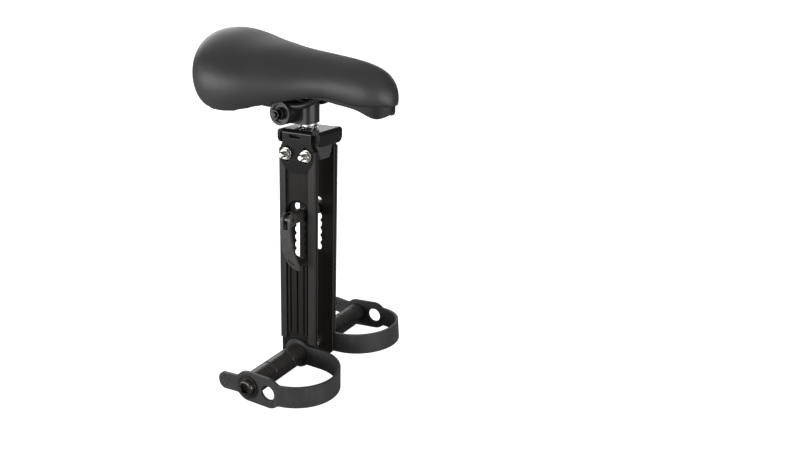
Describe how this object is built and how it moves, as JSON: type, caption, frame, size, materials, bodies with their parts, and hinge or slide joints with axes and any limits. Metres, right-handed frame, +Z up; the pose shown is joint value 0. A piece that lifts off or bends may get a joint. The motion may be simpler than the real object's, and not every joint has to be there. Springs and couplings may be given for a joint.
{
  "type": "kids handlebar bike seat",
  "caption": "Black child's bicycle seat for the top tube: padded saddle on a post, straddling legs with foot pegs and stirrup straps, quick-release lever",
  "frame": {"origin": "middle of the tube pad's flat underside, where the seat rests on the bicycle's top tube", "axes": "+Z up along the seat post, +X forward to the saddle's nose, +Y to the rider's left"},
  "size_m": [0.2213, 0.2288, 0.3572],
  "materials": {
    "black_vinyl": "matte",
    "black_moulding": "matte",
    "black_steel": "satin",
    "black_gloss_steel": "gloss",
    "black_alloy": "satin",
    "bronzed_steel": "satin",
    "zinc_steel": "satin",
    "chrome_tube": "polished",
    "grey_rubber": "matte",
    "black_rubber": "matte"
  },
  "bodies": {
    "bracket": {"top_bracket": "black_gloss_steel", "seat_post": "chrome_tube", "tube_pad": "grey_rubber"},
    "legs": {"leg_right": "black_alloy", "leg_left": "black_alloy", "ear_bolts": "zinc_steel", "ear_washers": "zinc_steel", "ear_nuts": "zinc_steel", "peg_right": "black_alloy", "peg_left": "black_alloy", "peg_bolt_right": "bronzed_steel", "peg_bolt_left": "bronzed_steel", "peg_nut_right": "zinc_steel", "peg_nut_left": "zinc_steel", "strap_right": "black_rubber", "strap_left": "black_rubber"},
    "skewer": {"skewer_rod": "bronzed_steel", "skewer_sleeve": "black_rubber", "cup_right": "black_alloy", "cup_left": "black_alloy"},
    "lever": {"cam_lever": "black_alloy", "cam_pin": "bronzed_steel"},
    "tension_nut": {"skewer_nut": "zinc_steel"},
    "clamp": {"clamp_band": "black_steel"},
    "saddle": {"saddle_pad": "black_vinyl", "saddle_base": "black_moulding", "saddle_rail_right": "black_steel", "saddle_rail_left": "black_steel", "clamp_inner_right": "black_steel", "clamp_inner_left": "black_steel", "clamp_outer_right": "black_steel", "clamp_outer_left": "black_steel", "clamp_bolt": "bronzed_steel", "clamp_nuts": "bronzed_steel"}
  },
  "joints": [
    {"name": "leg_rake", "type": "hinge", "parent": "bracket", "child": "legs", "pos_m": [0, 0, 0.0055], "axis": [0, 1, 0], "range_deg": [-12, 12]},
    {"name": "skewer_height", "type": "slide", "parent": "legs", "child": "skewer", "axis": [0, 0, 1], "range_m": [-0.0425, 0.0085]},
    {"name": "cam_lever_swing", "type": "hinge", "parent": "skewer", "child": "lever", "pos_m": [0, -0.036, -0.059], "axis": [-1, 0, 0], "range_deg": [0, 120]},
    {"name": "tension_nut_turn", "type": "hinge", "parent": "skewer", "child": "tension_nut", "pos_m": [0, 0.02, -0.059], "axis": [0, 1, 0], "continuous": true},
    {"name": "saddle_swivel", "type": "hinge", "parent": "bracket", "child": "clamp", "pos_m": [0, 0, 0.046], "axis": [0, 0, 1], "range_deg": [-30, 30]},
    {"name": "saddle_tilt", "type": "hinge", "parent": "clamp", "child": "saddle", "pos_m": [-0.017, 0, 0.046], "axis": [0, 1, 0], "range_deg": [-8, 8]}
  ]
}
